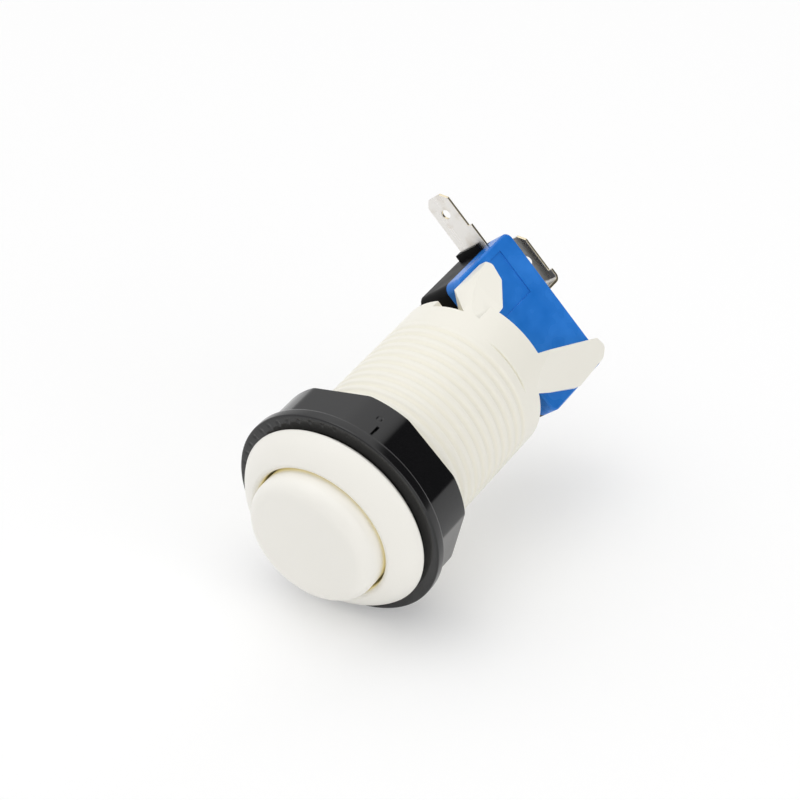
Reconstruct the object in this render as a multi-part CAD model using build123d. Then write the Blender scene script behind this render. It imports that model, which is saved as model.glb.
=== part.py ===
"""Arcade push button with a snap switch on its rear end, in millimetres.

The button's axis is Z, and +Z points out of the front of the panel. The origin lies on
that axis in the panel plane, where the bezel's underside rests. The switch lies across
the axis: its length runs along X, and its cover faces +Y.
"""

import os
from math import cos, radians, sin, sqrt

from build123d import *

os.makedirs("parts", exist_ok=True)

# Straight steps that stand in for each turned round, to keep the mesh light
round_steps = 3

# Bezel and barrel of the housing
bezel_radius = 16.3
bezel_height = 4.9
bezel_edge = 1.0
bezel_undercut = 1.0
bezel_lip = 0.8
bezel_bulge = 0.35
barrel_radius = 13.8
barrel_length = 36.9
barrel_wall = 3.1
collar_height = 3.0

# Web across the barrel that guides the plunger's stem and carries the spring
web_depth = 18.0
web_thickness = 2.0
guide_height = 3.0

# Plunger
plunger_radius = 11.2
plunger_clearance = 0.4
plunger_rise = 3.6
plunger_round = 2.5
plunger_dish = 0.5
plunger_dish_floor = 5.0
plunger_cap = 2.2
plunger_wall = 1.7
plunger_skirt = 7.4
press_travel = 3.0
stop_gap = 0.15
stem_radius = 3.5
stem_clearance = 0.3
stem_slot_width = 1.5
barb_reach = 0.9
barb_height = 2.6
barb_width = 4.4
barb_gap = 0.25

# Return spring
spring_radius = 5.4
spring_wire_radius = 0.45
spring_turns = 3.5
spring_wire_sides = 4
spring_gap = 0.1
spring_guide_clearance = 0.4

# Retaining nut
nut_thread_clearance = 0.2
nut_wall = 2.35
nut_corner_rise = 0.85
nut_flange_overhang = 1.7
nut_flange_thickness = 1.7
nut_height = 9.0
nut_cone_height = 1.3
nut_seat_gap = 0.1
nut_turn = 2.0

# Body of the snap switch
switch_length = 26.8
switch_offset = -0.1
switch_height = 15.9
switch_thickness = 10.3
switch_gap = 6.2
switch_wall = 1.3
switch_corner = 1.5
cover_thickness = 3.35
cover_edge_chamfer = 0.25
cover_recess = 0.2
cover_recess_length = 8.4
cover_recess_height = 10.5
hole_end_margin = 2.3
hole_side_margin = 2.8
hole_radius = 1.55
hole_boss_wall = 1.0
slot_clearance = 0.05
rib_width = 2.0

# Legs of the housing that hold the switch
leg_clearance = 0.05
leg_face_turn = 31.4
leg_face_start = 0.7
short_leg_inner = -6.4
short_leg_outer = -10.15
short_leg_lean = 9.5
long_leg_inner = 2.15
long_leg_outer = 8.1
long_leg_lean = 5.5
long_leg_flare = 1.2
bridge_height = 3.3
pad_height = 1.6
pad_width = 8.4
peg_clearance = 0.1
peg_length = 2.2

# Free ends of the legs as rows (x, z, rounding), measured from the hole that each leg holds
short_leg_end = (
    (2.0, -2.6, 1.0),
    (-0.5, -4.9, 0.6),
    (-1.4, -4.5, 0.6),
    (-1.9, -2.6, 0.5),
    (-1.9, 4.0, 0.5),
)
long_leg_end = (
    (-2.0, -1.5, 0.8),
    (0.4, -3.5, 0.8),
    (1.8, -2.2, 0.8),
    (1.8, 6.6, 0.3),
)
short_leg_neck = 0.7
short_leg_neck_round = 1.5
long_leg_root_round = 1.0

# Switch pin
pin_radius = 1.5
pin_clearance = 0.08
pin_stand = 1.4
pin_travel = 1.2
pin_flange_radius = 2.2
pin_flange_thickness = 1.0
pin_flange_gap = 0.2
pin_tail = 5.0
pin_tail_radius = 1.2

# Contact blade and contacts
blade_thickness = 0.3
blade_width = 4.4
blade_pivot = -9.5
blade_contact = 5.6
blade_overhang = 1.8
blade_heel = 0.8
blade_gap = 0.3
blade_press_gap = 0.05
blade_seat_gap = 0.12
blade_window_length = 4.6
blade_window_width = 1.8
contact_radius = 1.4
contact_thickness = 0.7
contact_gap = 0.25
stop_rib_gap = 0.5

# Terminals
tab_thickness = 0.5
tab_width = 5.2
tab_shoulder = 0.7
tab_tip_width = 2.7
tab_tip_length = 1.2
tab_hole_radius = 0.85
tab_bend = 0.6
com_reach = 11.5
com_hole_reach = 8.0
com_shoulder_reach = 4.6
com_depth = 11.8
com_sleeve = 1.3
com_sleeve_wall = 0.8
no_exit = -1.3
no_reach = 9.6
no_hole_reach = 5.1
no_shoulder_reach = 2.0
no_stand = 4.8

# Levels and radii worked out from the driving dimensions
bore_radius = plunger_radius + plunger_clearance
barrel_bore_radius = barrel_radius - barrel_wall
rim = -barrel_length
leg_root = rim + collar_height / 2
web_top = -web_depth
web_bottom = web_top - web_thickness
web_bore_radius = stem_radius + stem_clearance
guide_radius = spring_radius - spring_wire_radius - spring_guide_clearance
plunger_top = bezel_height + plunger_rise
plunger_bottom = plunger_top - plunger_skirt
cap_underside = plunger_top - plunger_cap
ledge = plunger_bottom - press_travel - stop_gap
barb_top = web_bottom - barb_gap
barb_bottom = barb_top - barb_height
nut_bore_radius = barrel_radius + nut_thread_clearance
nut_flat = nut_bore_radius + nut_wall
nut_corner_radius = nut_flat + nut_corner_rise
nut_flange_radius = nut_flat + nut_flange_overhang
switch_front = rim - switch_gap
switch_rear = switch_front - switch_height
switch_middle = (switch_front + switch_rear) / 2
switch_left = switch_offset - switch_length / 2
switch_right = switch_offset + switch_length / 2
switch_face = switch_thickness / 2
split = switch_face - cover_thickness
inner_left = switch_left + switch_wall
inner_right = switch_right - switch_wall
inner_front = switch_front - switch_wall
inner_rear = switch_rear + switch_wall
inner_face = switch_face - switch_wall
leg_seat = switch_face + leg_clearance
hole_reach = switch_length / 2 - hole_end_margin
short_hole = (-hole_reach, switch_front - hole_side_margin)
long_hole = (hole_reach, switch_rear + hole_side_margin)
pin_top = switch_front + pin_stand
pin_flange_top = inner_front - pin_flange_gap
pin_flange_bottom = pin_flange_top - pin_flange_thickness
pin_bottom = pin_flange_bottom - pin_tail
stem_bottom = pin_top + press_travel - pin_travel + stop_gap
blade_top = pin_bottom - blade_gap
blade_bottom = blade_top - blade_thickness
blade_slope = (pin_travel - blade_gap + blade_press_gap) / (-blade_pivot - pin_tail_radius)
contact_drop = blade_slope * (blade_contact - blade_pivot + contact_radius)
fixed_top = blade_bottom - contact_thickness - contact_drop - contact_gap
no_top = fixed_top - contact_thickness
no_bottom = switch_rear - no_stand
no_end = blade_contact + blade_overhang
com_top = switch_front - com_depth
com_tip = switch_left - com_reach
tab_half = tab_width / 2
shoulder_half = tab_half + tab_shoulder


def turned(*curves):
    """A solid turned about Z from curves that close an outline in the XZ plane."""
    edges = [edge for curve in curves for edge in curve.edges()]
    return revolve(make_face(edges), Axis.Z)


def in_section(points):
    """Points (radius or x, z) as points of the XZ plane."""
    return [(x, 0, z) for x, z in points]


def quarter_arc(start, centre, end):
    """An arc of a quarter turn in the XZ plane between two points about a centre."""
    spread = [(a + b - 2 * c) * cos(radians(45)) for a, b, c in zip(start, end, centre)]
    middle = [c + s for c, s in zip(centre, spread)]
    return ThreePointArc(*in_section([start, middle, end]))


def stepped(curve):
    """A curve as straight steps, which turn into cones."""
    return Polyline(*[curve @ (step / round_steps) for step in range(round_steps + 1)])


def drum(radius, low, high):
    """A plain cylinder about Z between two levels."""
    return Pos(0, 0, (low + high) / 2) * Cylinder(radius, high - low)


def block(x_range, y_range, z_range):
    """A box between two limits along each axis."""
    ranges = (x_range, y_range, z_range)
    size = [high - low for low, high in ranges]
    middle = [(high + low) / 2 for low, high in ranges]
    return Pos(*middle) * Box(*size)


def across(outline, y_low, y_high):
    """A flat closed outline, drawn in (x, z), carried along Y."""
    face = Pos(0, y_low, 0) * (Plane.XZ * make_face(outline.edges()))
    return extrude(face, amount=y_high - y_low, dir=(0, 1, 0))


def rod_along_y(place, radius, y_low, y_high):
    """A round rod along Y through a point (x, z)."""
    x, z = place
    return Pos(x, (y_low + y_high) / 2, z) * (Rot(90, 0, 0) * Cylinder(radius, y_high - y_low))


def housing_shell():
    """Bezel, barrel, collar and web as one turned body."""
    lip_edge = (bore_radius, bezel_height - bezel_lip)
    crown = (bore_radius + bezel_lip, bezel_height)
    edge = (bezel_radius, bezel_edge)
    bulge = [(a + b) / 2 + bezel_bulge for a, b in zip(crown, edge)]
    dome = stepped(ThreePointArc(*in_section([crown, bulge, edge])))
    outside = Polyline(*in_section([
        edge,
        (bezel_radius - bezel_undercut, 0),
        (barrel_radius, 0),
        (barrel_radius, rim),
        (barrel_bore_radius, rim),
    ]))
    inside = Polyline(*in_section([
        (barrel_bore_radius, rim),
        (barrel_bore_radius, web_bottom),
        (web_bore_radius, web_bottom),
        (web_bore_radius, web_top + guide_height),
        (guide_radius, web_top + guide_height),
        (guide_radius, web_top),
        (barrel_bore_radius, web_top),
        (barrel_bore_radius, ledge),
        (bore_radius, ledge),
        lip_edge,
        crown,
    ]))
    return turned(dome, outside, inside)


def space_beyond(start, outward):
    """The space on the outward side of a plane, as far as any leg reaches."""
    reach = 4 * (barrel_radius + switch_height)
    return extrude(Plane(origin=start, z_dir=outward) * Rectangle(reach, reach), amount=barrel_radius)


def leg_face_cut(side, lean):
    """The space before a leg's flat sloping face, which starts at the barrel's skin."""
    turn = radians(90 - side * leg_face_turn)
    slope = radians(lean)
    outward = Vector(cos(turn) * cos(slope), sin(turn) * cos(slope), -sin(slope))
    start = Vector(cos(turn) * barrel_radius, sin(turn) * barrel_radius, rim + leg_face_start)
    return space_beyond(start, outward)


def flank_cut(side, shoulder, foot):
    """The space beside a leg's outer flank, which meets the barrel's skin squarely at its foot."""
    foot_y = sqrt(barrel_radius**2 - foot[0]**2)
    start = Vector(foot[0], foot_y, foot[1])
    seat_corner = Vector(shoulder[0], leg_seat, shoulder[1])
    outward = (start - seat_corner).cross(Vector(foot[0], foot_y, 0)) * -side
    return space_beyond(start, outward)


def leg(root, free_end, hole, side, lean, skin):
    """One leg on the cover's side, kept inside a skin, with its peg.

    The root gives the rows (x, z, rounding) before and after the free end's rows.
    """
    x, z = hole
    before, after = root
    end = [(x + dx, z + dz, rounding) for dx, dz, rounding in free_end]
    rows = before + end + after
    outline = FilletPolyline(*[row[:2] for row in rows], radius=[row[2] for row in rows], close=True)
    bounded = across(outline, leg_seat, barrel_radius) & skin
    throat = drum(barrel_bore_radius, rim, 0)
    taper = Pos(0, 0, (rim + switch_front) / 2) * Cone(leg_seat, barrel_bore_radius, switch_gap)
    peg_end = leg_seat + peg_clearance
    peg = rod_along_y(hole, hole_radius - peg_clearance, switch_face - peg_length, peg_end)
    faced = bounded - throat - taper - leg_face_cut(side, lean)
    return faced - flank_cut(side, end[-1], after[0]) + peg


def short_leg():
    """The leg with a wedge head at the front hole of the switch."""
    before = [
        (short_leg_inner, leg_root, 0),
        (short_leg_inner, switch_front + short_leg_neck, short_leg_neck_round),
    ]
    after = [(short_leg_outer, rim, 0), (short_leg_outer, leg_root, 0)]
    skin = drum(barrel_radius, 2 * switch_rear, 0)
    return leg((before, after), short_leg_end, short_hole, -1, short_leg_lean, skin)


def long_leg():
    """The broad leg that leans out to the rear hole of the switch, past the barrel's skin."""
    before = [(long_leg_inner, leg_root, 0), (long_leg_inner, rim - bridge_height, 0)]
    after = [
        (long_leg_outer, rim - pad_height, long_leg_root_round),
        (long_leg_outer, leg_root, 0),
    ]
    flare = drum(barrel_radius + long_leg_flare, 2 * switch_rear, switch_front)
    skin = drum(barrel_radius, 2 * switch_rear, 0) + flare
    return leg((before, after), long_leg_end, long_hole, 1, long_leg_lean, skin)


def collar_wall(height, x_range, y_range):
    """A stretch of collar wall that stands up behind the rim."""
    levels = (rim - height, leg_root)
    wall = drum(barrel_radius, *levels) - drum(barrel_bore_radius, *levels)
    return wall & block(x_range, y_range, levels)


def housing():
    """The whole moulding: turned body, rear pad, and two legs and a bridge on each side."""
    bridge = collar_wall(
        bridge_height,
        (short_leg_inner - barrel_wall / 2, long_leg_inner + barrel_wall / 2),
        (0, barrel_radius),
    )
    pad = collar_wall(pad_height, (-barrel_radius, 0), (-pad_width / 2, pad_width / 2))
    legs = short_leg() + long_leg() + bridge
    return housing_shell() + legs + mirror(legs, Plane.XZ) + pad


def plunger():
    """The dished cap and skirt, and the split stem with barbs under the web."""
    edge_level = plunger_top - plunger_round
    edge_start = plunger_radius - plunger_round
    skirt_inside = plunger_radius - plunger_wall
    corner = ((edge_start, plunger_top), (edge_start, edge_level), (plunger_radius, edge_level))
    edge = stepped(quarter_arc(*corner))
    rest = Polyline(*in_section([
        (plunger_radius, edge_level),
        (plunger_radius, plunger_bottom),
        (skirt_inside, plunger_bottom),
        (skirt_inside, cap_underside),
        (stem_radius, cap_underside),
        (stem_radius, stem_bottom),
        (0, stem_bottom),
        (0, plunger_top - plunger_dish),
        (plunger_dish_floor, plunger_top - plunger_dish),
        (edge_start, plunger_top),
    ]))
    barb_cone = turned(Polyline(*in_section([
        (0, barb_top),
        (stem_radius + barb_reach, barb_top),
        (stem_radius, barb_bottom),
        (0, barb_bottom),
    ]), close=True))
    stem_span = (-2 * stem_radius, 2 * stem_radius)
    barbs = barb_cone & block((-barb_width / 2, barb_width / 2), stem_span, (barb_bottom, barb_top))
    slot_span = (-stem_slot_width / 2, stem_slot_width / 2)
    slot = block(stem_span, slot_span, (barb_bottom - barb_height, web_top))
    return turned(edge, rest) + barbs - slot


def return_spring():
    """The coil spring between the plunger's cap and the web."""
    low = web_top + spring_gap + spring_wire_radius
    high = cap_underside - spring_gap - spring_wire_radius
    coil = Helix((high - low) / spring_turns, high - low, spring_radius, center=(0, 0, low))
    wire = Plane(origin=coil @ 0, z_dir=coil % 0) * RegularPolygon(spring_wire_radius, spring_wire_sides)
    return sweep(wire, path=coil, is_frenet=True)


def retaining_nut():
    """The flanged hexagon nut, its corners turned down to a round."""
    top = -nut_seat_gap
    flange_bottom = top - nut_flange_thickness
    bottom = top - nut_height
    cone_bottom = flange_bottom - nut_cone_height
    hexagon = RegularPolygon(nut_flat, 6, major_radius=False, rotation=nut_turn)
    prism = extrude(Pos(0, 0, bottom) * hexagon, amount=nut_height)
    envelope = drum(nut_corner_radius, bottom, top)
    flange = turned(Polyline(*in_section([
        (0, top),
        (nut_flange_radius, top),
        (nut_flange_radius, flange_bottom),
        (nut_flat, cone_bottom),
        (0, cone_bottom),
    ]), close=True))
    return (prism & envelope) + flange - drum(nut_bore_radius, bottom, top)


def switch_plate(y_low, y_high):
    """The switch's outline with its rounded corners, as a plate across Y."""
    outline = RectangleRounded(switch_length, switch_height, switch_corner)
    return across(Pos(switch_offset, switch_middle) * outline, y_low, y_high)


def switch_half(y_low, y_high, cavity_low, cavity_high):
    """One half of the switch body: a tray with a round boss about each mounting hole."""
    plate = switch_plate(y_low, y_high)
    cavity = block((inner_left, inner_right), (cavity_low, cavity_high), (inner_rear, inner_front))
    bosses = [rod_along_y(hole, hole_radius + hole_boss_wall, y_low, y_high)
              for hole in (short_hole, long_hole)]
    holes = [rod_along_y(hole, hole_radius, 2 * y_low - y_high, 2 * y_high - y_low)
             for hole in (short_hole, long_hole)]
    return plate - cavity + (plate & bosses[0]) + (plate & bosses[1]), holes


def terminal_slots():
    """The slots in the end wall and the rear wall that the two terminals pass through."""
    half = tab_thickness / 2 + slot_clearance
    y_range = (-tab_half - slot_clearance, shoulder_half + slot_clearance)
    com_middle = com_top - tab_thickness / 2
    end_slot = block(
        (switch_left - 2 * com_sleeve, inner_left + switch_wall),
        y_range,
        (com_middle - half, com_middle + half),
    )
    rear_slot = block((no_exit - half, no_exit + half), y_range, (switch_rear - switch_wall, inner_rear))
    return end_slot + rear_slot


def pin_bore():
    """The hole in the switch's front wall that the pin slides in."""
    return drum(pin_radius + pin_clearance, inner_front - switch_wall, switch_front + switch_wall)


def switch_base():
    """The black half, with the terminal sleeve, the pin's bore and the two inner ribs."""
    tray, holes = switch_half(-switch_face, split, -inner_face, split)
    sleeve = block(
        (switch_left - com_sleeve, switch_left + switch_wall / 2),
        (-tab_half - com_sleeve_wall, split),
        (com_top - tab_thickness - com_sleeve_wall, com_top + com_sleeve_wall),
    )
    rib_x = (blade_contact - rib_width / 2, blade_contact + rib_width / 2)
    stop_low = blade_top + stop_rib_gap
    stop_rib = block(rib_x, (-inner_face - switch_wall / 2, split), (stop_low, inner_front + switch_wall / 2))
    rest_x = (no_exit + 2 * tab_bend + tab_thickness, blade_contact - contact_radius)
    rest_top = no_top - tab_thickness - slot_clearance
    rest = block(rest_x, (-inner_face - switch_wall / 2, split), (inner_rear - switch_wall / 2, rest_top))
    body = tray + sleeve + stop_rib + rest
    return body - holes[0] - holes[1] - terminal_slots() - pin_bore()


def switch_cover():
    """The blue half, with a softened outer edge and a shallow field in its face."""
    tray, holes = switch_half(split, switch_face, split, inner_face)
    outer_edges = tray.faces().sort_by(Axis.Y)[-1].outer_wire().edges()
    soft = chamfer(outer_edges, cover_edge_chamfer)
    field_left = switch_left + switch_corner
    field_top = switch_front - switch_wall
    field = block(
        (field_left, field_left + cover_recess_length),
        (switch_face - cover_recess, switch_face + cover_recess),
        (field_top - cover_recess_height, field_top),
    )
    return soft - field - holes[0] - holes[1] - terminal_slots() - pin_bore()


def switch_pin():
    """The pin that stands out of the switch's front, with its inner flange and tail."""
    head = drum(pin_radius, pin_flange_bottom, pin_top)
    flange = drum(pin_flange_radius, pin_flange_bottom, pin_flange_top)
    tail = drum(pin_tail_radius, pin_bottom, pin_flange_bottom)
    return head + flange + tail


def contact_blade():
    """The flat spring blade with its window."""
    plate = block(
        (blade_pivot - blade_heel, blade_contact + blade_overhang),
        (-blade_width / 2, blade_width / 2),
        (blade_bottom, blade_top),
    )
    window_left = blade_pivot + blade_heel
    window = block(
        (window_left, window_left + blade_window_length),
        (-blade_window_width / 2, blade_window_width / 2),
        (blade_bottom - blade_thickness, blade_top + blade_thickness),
    )
    return plate - window


def moving_contact():
    """The contact welded under the blade's free end."""
    return Pos(blade_contact) * drum(contact_radius, blade_bottom - contact_thickness, blade_bottom)


def fixed_contact():
    """The contact welded on the rear terminal, facing the blade's contact."""
    return Pos(blade_contact) * drum(contact_radius, no_top, fixed_top)


def bent_strip(profile, radii, plan):
    """A bent metal strip: its side profile (x, z) carried across, trimmed to its plan (x, y)."""
    side = across(FilletPolyline(*profile, radius=radii, close=True), -shoulder_half, shoulder_half)
    low = 2 * no_bottom
    trim = extrude(Pos(0, 0, low) * make_face(Polyline(*plan, close=True)), amount=-low)
    return side & trim


def tab_plan(tip, shoulder_start, shoulder_end, end):
    """Outline of a flat terminal: bevelled tip, blade, one shoulder, and a straight root."""
    return [
        (tip, -tab_tip_width / 2),
        (tip + tab_tip_length, -tab_half),
        (end, -tab_half),
        (end, tab_half),
        (shoulder_end, tab_half),
        (shoulder_end, shoulder_half),
        (shoulder_start, shoulder_half),
        (shoulder_start, tab_half),
        (tip + tab_tip_length, tab_half),
        (tip, tab_tip_width / 2),
    ]


def com_terminal():
    """The common terminal: a tab out of the end wall, turned up inside to carry the blade."""
    inner = blade_pivot + tab_thickness / 2
    bottom = com_top - tab_thickness
    seat = blade_bottom - blade_seat_gap
    profile = [
        (com_tip, com_top),
        (inner - tab_thickness, com_top),
        (inner - tab_thickness, seat),
        (inner, seat),
        (inner, bottom),
        (com_tip, bottom),
    ]
    radii = [0, tab_bend, 0, 0, tab_bend + tab_thickness, 0]
    plan = tab_plan(com_tip, switch_left - com_shoulder_reach, inner_left, inner)
    hole = Pos(switch_left - com_hole_reach) * drum(tab_hole_radius, 2 * bottom, 0)
    return bent_strip(profile, radii, plan) - hole


def no_terminal():
    """The working terminal: from the fixed contact through the rear wall, then bent flat."""
    left = no_exit - tab_thickness / 2
    right = no_exit + tab_thickness / 2
    tip = no_exit - no_reach
    tab_top = no_bottom + tab_thickness
    profile = [
        (no_end, no_top),
        (left, no_top),
        (left, tab_top),
        (tip, tab_top),
        (tip, no_bottom),
        (right, no_bottom),
        (right, no_top - tab_thickness),
        (no_end, no_top - tab_thickness),
    ]
    outer = tab_bend + tab_thickness
    radii = [0, outer, tab_bend, 0, 0, outer, tab_bend, 0]
    plan = tab_plan(tip, no_exit - no_shoulder_reach, right + outer, no_end)
    wire_hole = Pos(no_exit - no_hole_reach) * drum(tab_hole_radius, 2 * no_bottom, 0)
    return bent_strip(profile, radii, plan) - wire_hole


pieces = (
    housing,
    plunger,
    return_spring,
    retaining_nut,
    switch_base,
    switch_cover,
    switch_pin,
    com_terminal,
    no_terminal,
    contact_blade,
    moving_contact,
    fixed_contact,
)

for piece in pieces:
    export_step(piece(), f"parts/{piece.__name__}.step")
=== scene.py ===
import math

import bmesh
import bpy
import numpy as np
from mathutils import Matrix, Vector


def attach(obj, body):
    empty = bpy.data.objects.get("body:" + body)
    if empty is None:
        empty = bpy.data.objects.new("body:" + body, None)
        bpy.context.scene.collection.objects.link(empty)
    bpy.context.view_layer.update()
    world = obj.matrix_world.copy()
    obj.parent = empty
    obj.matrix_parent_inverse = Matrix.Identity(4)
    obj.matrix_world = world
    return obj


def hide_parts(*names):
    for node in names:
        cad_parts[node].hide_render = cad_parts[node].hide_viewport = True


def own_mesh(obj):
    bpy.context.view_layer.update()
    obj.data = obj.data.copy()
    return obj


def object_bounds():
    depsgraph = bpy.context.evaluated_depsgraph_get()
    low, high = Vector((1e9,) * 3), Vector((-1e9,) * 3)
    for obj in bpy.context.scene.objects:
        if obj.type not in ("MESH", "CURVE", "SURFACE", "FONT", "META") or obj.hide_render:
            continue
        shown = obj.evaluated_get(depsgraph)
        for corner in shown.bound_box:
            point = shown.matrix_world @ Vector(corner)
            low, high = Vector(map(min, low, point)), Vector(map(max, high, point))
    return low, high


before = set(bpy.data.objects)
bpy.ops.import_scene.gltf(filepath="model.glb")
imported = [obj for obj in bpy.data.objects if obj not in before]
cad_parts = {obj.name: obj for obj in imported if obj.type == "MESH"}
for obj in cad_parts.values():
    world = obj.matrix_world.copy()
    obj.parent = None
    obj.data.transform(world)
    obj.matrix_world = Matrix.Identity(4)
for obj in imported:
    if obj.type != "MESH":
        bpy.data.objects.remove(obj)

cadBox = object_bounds()
mm = 0.001
print("frame loaded:", len(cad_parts), "nodes")


# Arrays and meshes: merge distances in metres, angles in degrees, the level match in millimetres

meshLimits = {"merge": 1e-7, "nodeMerge": 2e-6, "flatAngle": 0.6, "sharpAngle": 30, "levelMatch": 0.01}
pieceFinish = {"crease": 38, "bevelSegments": 3}


def smoothStep(low, high, value):
    # 0 below low, 1 above high, an S-curve between
    share = np.clip((value - low) / (high - low), 0, 1)
    return share * share * (3 - 2 * share)


def softSlot(distance, width, soft):
    # 1 within half the width of a middle line, 0 beyond it, with a soft edge
    return smoothStep(width / 2 + soft, width / 2 - soft, distance)


def roundedLoop(corners, rounds, steps):
    # Each corner of a closed outline becomes a quadratic curve from one side to the next.
    # corners is (corner, column, 2), rounds the length that each round takes from both its sides,
    # at most about half of the shorter one.
    shortest, mostOfSide = 1e-9, 0.49
    toLast = np.roll(corners, 1, axis=0) - corners
    toNext = np.roll(corners, -1, axis=0) - corners
    lastLength = np.maximum(np.linalg.norm(toLast, axis=-1), shortest)
    nextLength = np.maximum(np.linalg.norm(toNext, axis=-1), shortest)
    room = np.minimum(lastLength, nextLength) * mostOfSide
    reach = np.minimum(room, np.asarray(rounds, float)[:, None])
    start = corners + toLast * (reach / lastLength)[..., None]
    end = corners + toNext * (reach / nextLength)[..., None]
    share = np.linspace(0, 1, steps)[None, :, None, None]
    curve = (1 - share) ** 2 * start[:, None] + 2 * share * (1 - share) * corners[:, None]
    return (curve + share ** 2 * end[:, None]).reshape(-1, corners.shape[1], 2)


def roundedRows(rows, steps):
    # A closed section given as rows of radius, height and round, with its corners rounded
    rows = np.array(rows, float)
    return roundedLoop(rows[:, None, :2], rows[:, 2], steps)[:, 0]


def arcThrough(first, middle, last, count):
    # Points on the circle through three points of a section, from the first to the last
    first, middle, last = (np.asarray(point, float) for point in (first, middle, last))
    rows = np.array([middle - first, last - first])
    centre = np.linalg.solve(2 * rows, [middle @ middle - first @ first, last @ last - first @ first])
    angles = np.unwrap([math.atan2(*(point - centre)[::-1]) for point in (first, middle, last)])
    turn = np.linspace(angles[0], angles[2], count)
    radius = np.linalg.norm(first - centre)
    return centre + radius * np.stack([np.cos(turn), np.sin(turn)], -1)


def repeatedSection(rows, columns):
    # The same section at even angles about Z, and those angles
    angles = np.linspace(0, 2 * np.pi, columns, endpoint=False)
    return np.repeat(rows[:, None], columns, axis=1), angles


def swungPoints(section, angles):
    # A section (row, column, radius and height) swung about Z, one column at each angle
    radius, height = section[..., 0], section[..., 1]
    return np.stack([radius * np.cos(angles), radius * np.sin(angles), height], -1)


def gridFaces(rows, columns, wrapRows):
    # One quad between neighbouring rows and columns. The last column joins the first, and wrapped
    # rows join in the same way.
    row, column = np.meshgrid(
        np.arange(rows if wrapRows else rows - 1), np.arange(columns), indexing="ij"
    )
    below = (row + 1) % rows
    beside = (column + 1) % columns
    corners = ((row, column), (row, beside), (below, beside), (below, column))
    return np.stack([down * columns + across for down, across in corners], -1).reshape(-1, 4)


def meshFromGrid(name, points, wrapRows=True):
    # Points in millimetres on a grid become a mesh in metres, with poles and equal points merged
    mesh = bpy.data.meshes.new(name)
    faces = gridFaces(points.shape[0], points.shape[1], wrapRows)
    mesh.from_pydata((points.reshape(-1, 3) * mm).tolist(), [], faces.tolist())
    form = bmesh.new()
    form.from_mesh(mesh)
    bmesh.ops.remove_doubles(form, verts=form.verts, dist=meshLimits["merge"])
    bmesh.ops.recalc_face_normals(form, faces=form.faces)
    form.to_mesh(mesh)
    form.free()
    return mesh


def closeCut(form, rim):
    # A ring's cut has two loops, which are bridged; a rod's cut has one, which is filled
    try:
        bmesh.ops.bridge_loops(form, edges=rim)
    except RuntimeError:
        bmesh.ops.contextual_create(form, geom=rim)


def copyOfNode(node, cutHeight=None):
    # The CAD node's mesh with its loose triangles joined and its flat faces made whole.
    # With a cut height in millimetres, only what lies below it is kept, and the cut is closed.
    form = bmesh.new()
    form.from_mesh(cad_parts[node].data)
    bmesh.ops.remove_doubles(form, verts=form.verts, dist=meshLimits["nodeMerge"])
    if cutHeight is not None:
        cut = bmesh.ops.bisect_plane(
            form, geom=form.verts[:] + form.edges[:] + form.faces[:], dist=meshLimits["merge"],
            plane_co=(0, 0, cutHeight * mm), plane_no=(0, 0, 1), clear_outer=True,
        )
        closeCut(form, [edge for edge in cut["geom_cut"] if isinstance(edge, bmesh.types.BMEdge)])
    flatAngle = math.radians(meshLimits["flatAngle"])
    bmesh.ops.dissolve_limit(form, angle_limit=flatAngle, verts=form.verts, edges=form.edges)
    bmesh.ops.recalc_face_normals(form, faces=form.faces)
    mesh = bpy.data.meshes.new(node)
    form.to_mesh(mesh)
    form.free()
    return mesh


def joinedMesh(name, *meshes):
    # Several meshes as the separate islands of one
    form = bmesh.new()
    for mesh in meshes:
        form.from_mesh(mesh)
    mesh = bpy.data.meshes.new(name)
    form.to_mesh(mesh)
    form.free()
    return mesh


def sharpEdgeWeights(mesh, leftOut=()):
    # Bevel weight 1 on edges that turn by more than the sharp angle, apart from those in a left-out level
    form = bmesh.new()
    form.from_mesh(mesh)
    layer = form.edges.layers.float.new("bevel_weight_edge")
    sharpAngle = math.radians(meshLimits["sharpAngle"])
    for edge in form.edges:
        if len(edge.link_faces) == 2 and edge.calc_face_angle() > sharpAngle:
            heights = [vert.co.z / mm for vert in edge.verts]
            atLevel = any(
                max(abs(height - level) for height in heights) < meshLimits["levelMatch"]
                for level in leftOut
            )
            edge[layer] = 0.0 if atLevel else 1.0
    form.to_mesh(mesh)
    form.free()


def addPiece(name, mesh, body, material, replaced=(), bevel=0, crease=pieceFinish["crease"]):
    # A finished piece: shaded smooth up to the crease angle, riding on its body
    piece = bpy.data.objects.new(name, mesh)
    bpy.context.scene.collection.objects.link(piece)
    mesh.materials.clear()
    mesh.materials.append(material)
    mesh.polygons.foreach_set("use_smooth", np.ones(len(mesh.polygons), bool))
    mesh.set_sharp_from_angle(angle=math.radians(crease))
    if bevel:
        soften = piece.modifiers.new("softEdges", "BEVEL")
        soften.width = bevel * mm
        soften.segments = pieceFinish["bevelSegments"]
        soften.limit_method = "WEIGHT"
        soften.harden_normals = True
        soften.use_clamp_overlap = True
    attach(piece, body)
    if replaced:
        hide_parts(*replaced)
    return piece


# Shader nodes

def newGroup(name, inputs, outputs):
    # A shader node group with named sockets; inputs give a kind and a first value
    group = bpy.data.node_groups.new(name, "ShaderNodeTree")
    for label, (kind, value) in inputs.items():
        socket = group.interface.new_socket(label, in_out="INPUT", socket_type=kind)
        if value is not None:
            socket.default_value = value
    for label, kind in outputs.items():
        group.interface.new_socket(label, in_out="OUTPUT", socket_type=kind)
    return group, group.nodes.new("NodeGroupInput"), group.nodes.new("NodeGroupOutput")


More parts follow.
